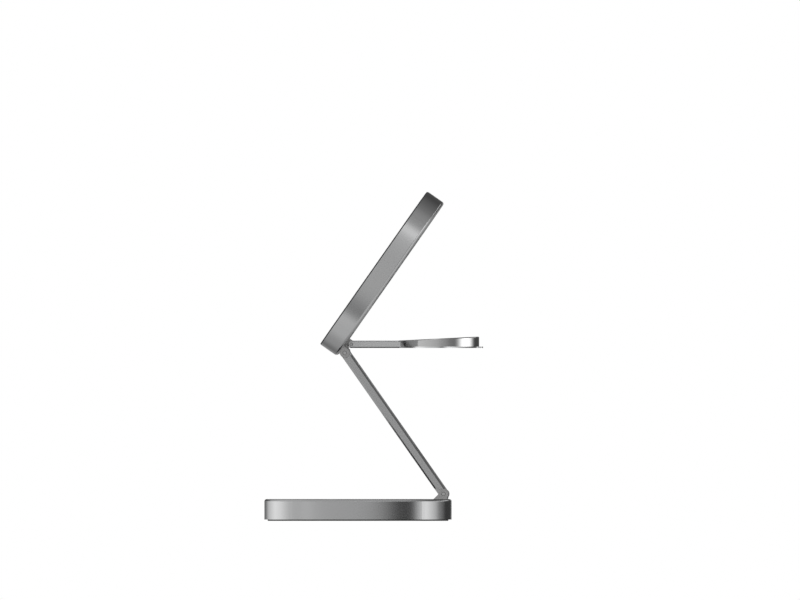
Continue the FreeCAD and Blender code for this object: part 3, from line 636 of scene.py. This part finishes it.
def inlet_contacts():
    """Rows of gold contacts on both faces of the inlet's tongue."""
    low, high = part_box("usb_c_tongue")
    middle = (low.z + high.z) / 2
    solid = bmesh.new()
    first = -(CONTACT_COUNT - 1) / 2 * CONTACT_PITCH
    for index in range(CONTACT_COUNT):
        for side in (-1, 1):
            strip = bmesh.ops.create_cube(solid, size=1)["verts"]
            bmesh.ops.scale(solid, verts=strip, vec=CONTACT_SIZE)
            height = middle + side * TONGUE_HALF_THICKNESS
            place = (first + index * CONTACT_PITCH, high.y - CONTACT_SETBACK, height)
            bmesh.ops.translate(solid, verts=strip, vec=place)
    edges = [edge for edge in solid.edges if abs(edge.verts[0].co.y - edge.verts[1].co.y) > MM]
    round_edges(solid, edges, CONTACT_EDGE, 2)
    add_piece("inlet_contacts", solid, LEVEL_FRAME, gold_contact("contact_gold"), "base")


# Studio
def studio_world():
    """A pale room. The camera sees plain white, and the metal sees the room and the white behind it."""
    world = bpy.data.worlds.new("studio")
    bpy.context.scene.world = world
    world.use_nodes = True
    world.node_tree.nodes.clear()
    wire = Wire(world.node_tree)
    split = wire.make("ShaderNodeSeparateXYZ", {}, {0: wire.make("ShaderNodeTexCoord", output="Generated")})
    x, y, z = split.out("X"), split.out("Y"), split.out("Z")
    depth = 0 - z
    turn = wire.maths("ARCTAN2", y, x) / (2 * math.pi) + 0.5
    room = tint(wire, step(wire, z, *UPPER_STEP), round_room(wire, turn, HORIZON),
                round_room(wire, turn, UPPER_ROOM))
    ground = tint(wire, step(wire, depth, *BELOW_STEP), grey(FLOOR_NEAR), grey(FLOOR_BELOW))
    behind = tint(wire, step(wire, depth, *UNDER_STEP), grey(FLOOR_BEHIND), grey(FLOOR_UNDER))
    ground = tint(wire, step(wire, x, *BEHIND_STEP), behind, ground)
    room = tint(wire, step(wire, depth, *GROUND_STEP), room, ground)
    sideways = (turn - 0.5) * 360
    upwards = wire.maths("ARCSINE", z) * math.degrees(1)
    for across, along, level in CARDS:
        shape = within(wire, sideways, *across) * within(wire, upwards, *along)
        room = tint(wire, shape, room, grey(level))
    rays = wire.make("ShaderNodeLightPath", output="Is Camera Ray")
    backdrop = step(wire, 0 - x, *BACKDROP_STEP)
    mirrored = rays.out("Is Glossy Ray") * backdrop * BACKDROP_SHARE
    seen = rays + rays.out("Is Transmission Ray") + mirrored
    lit = wire.make("ShaderNodeBackground", {}, {"Color": room, "Strength": 1.0})
    white = wire.make("ShaderNodeBackground", {}, {"Color": (1, 1, 1, 1), "Strength": 1.0})
    mixed = wire.make("ShaderNodeMixShader", {}, {0: seen, 1: lit, 2: white})
    wire.make("ShaderNodeOutputWorld", {}, {"Surface": mixed})


def round_room(wire, turn, levels):
    """Brightness all round, from its levels at given azimuths."""
    stops = [((angle + 180) / 360, level) for angle, level in levels]
    return wire.make("ShaderNodeValToRGB", {"stops": stops}, {"Fac": turn})


def within(wire, angle, middle, half, softness):
    """1 inside a card and 0 outside it, with a soft edge."""
    return 1 - step(wire, wire.maths("ABSOLUTE", angle - middle), half - softness / 2, half + softness / 2)


def overhead_lamp():
    """A large soft lamp above the charger."""
    data = bpy.data.lights.new("overhead_softbox", "AREA")
    data.shape = "SQUARE"
    data.size = LAMP_SIZE
    data.energy = LAMP_POWER
    lamp = add_to_scene("overhead_softbox", data)
    lamp.location = LAMP_PLACE
    lamp.rotation_euler = (LAMP_AIM - LAMP_PLACE).to_track_quat("-Z", "Y").to_euler()
    lamp.visible_camera = False
    lamp.visible_glossy = False


def pale_floor():
    """A pale floor that keeps the soft shadow."""
    solid = bmesh.new()
    bmesh.ops.create_circle(solid, cap_ends=True, segments=96, radius=FLOOR_RADIUS)
    mesh = bpy.data.meshes.new("floor")
    solid.to_mesh(mesh)
    solid.free()
    floor = add_to_scene("floor", mesh)
    material, wire = rework("pale_floor")
    card = noise(wire, own_place(wire), 900, 2)
    matt = wire.make("ShaderNodeBsdfDiffuse", {}, {"Color": tint(wire, card, grey(0.84), grey(0.86))})
    rays = wire.make("ShaderNodeLightPath", output="Is Camera Ray")
    glow = wire.make("ShaderNodeEmission", {}, {"Color": (1, 1, 1, 1), "Strength": 1.0})
    mixed = wire.make("ShaderNodeMixShader", {}, {0: rays * FLOOR_GLOW, 1: matt, 2: glow})
    wire.make("ShaderNodeOutputMaterial", {}, {"Surface": mixed})
    mesh.materials.append(material)
    floor.visible_glossy = False


def side_camera():
    """A camera far to the right, turned a little to the rear, as in the photo."""
    data = bpy.data.cameras.new("side_camera")
    data.type = "ORTHO"
    data.ortho_scale = PICTURE_WIDTH
    camera = add_to_scene("side_camera", data)
    back = Vector((math.cos(CAMERA_TURN), math.sin(CAMERA_TURN), 0))
    camera.location = PICTURE_CENTRE + CAMERA_DISTANCE * back
    camera.rotation_euler = back.to_track_quat("Z", "Y").to_euler()
    bpy.context.scene.camera = camera


side_camera()
studio_world()
overhead_lamp()
pale_floor()
bpy.context.scene.view_settings.view_transform = "Standard"
made = finish_nodes()
pad_screws(made)
inlet_contacts()
dished_face(made)
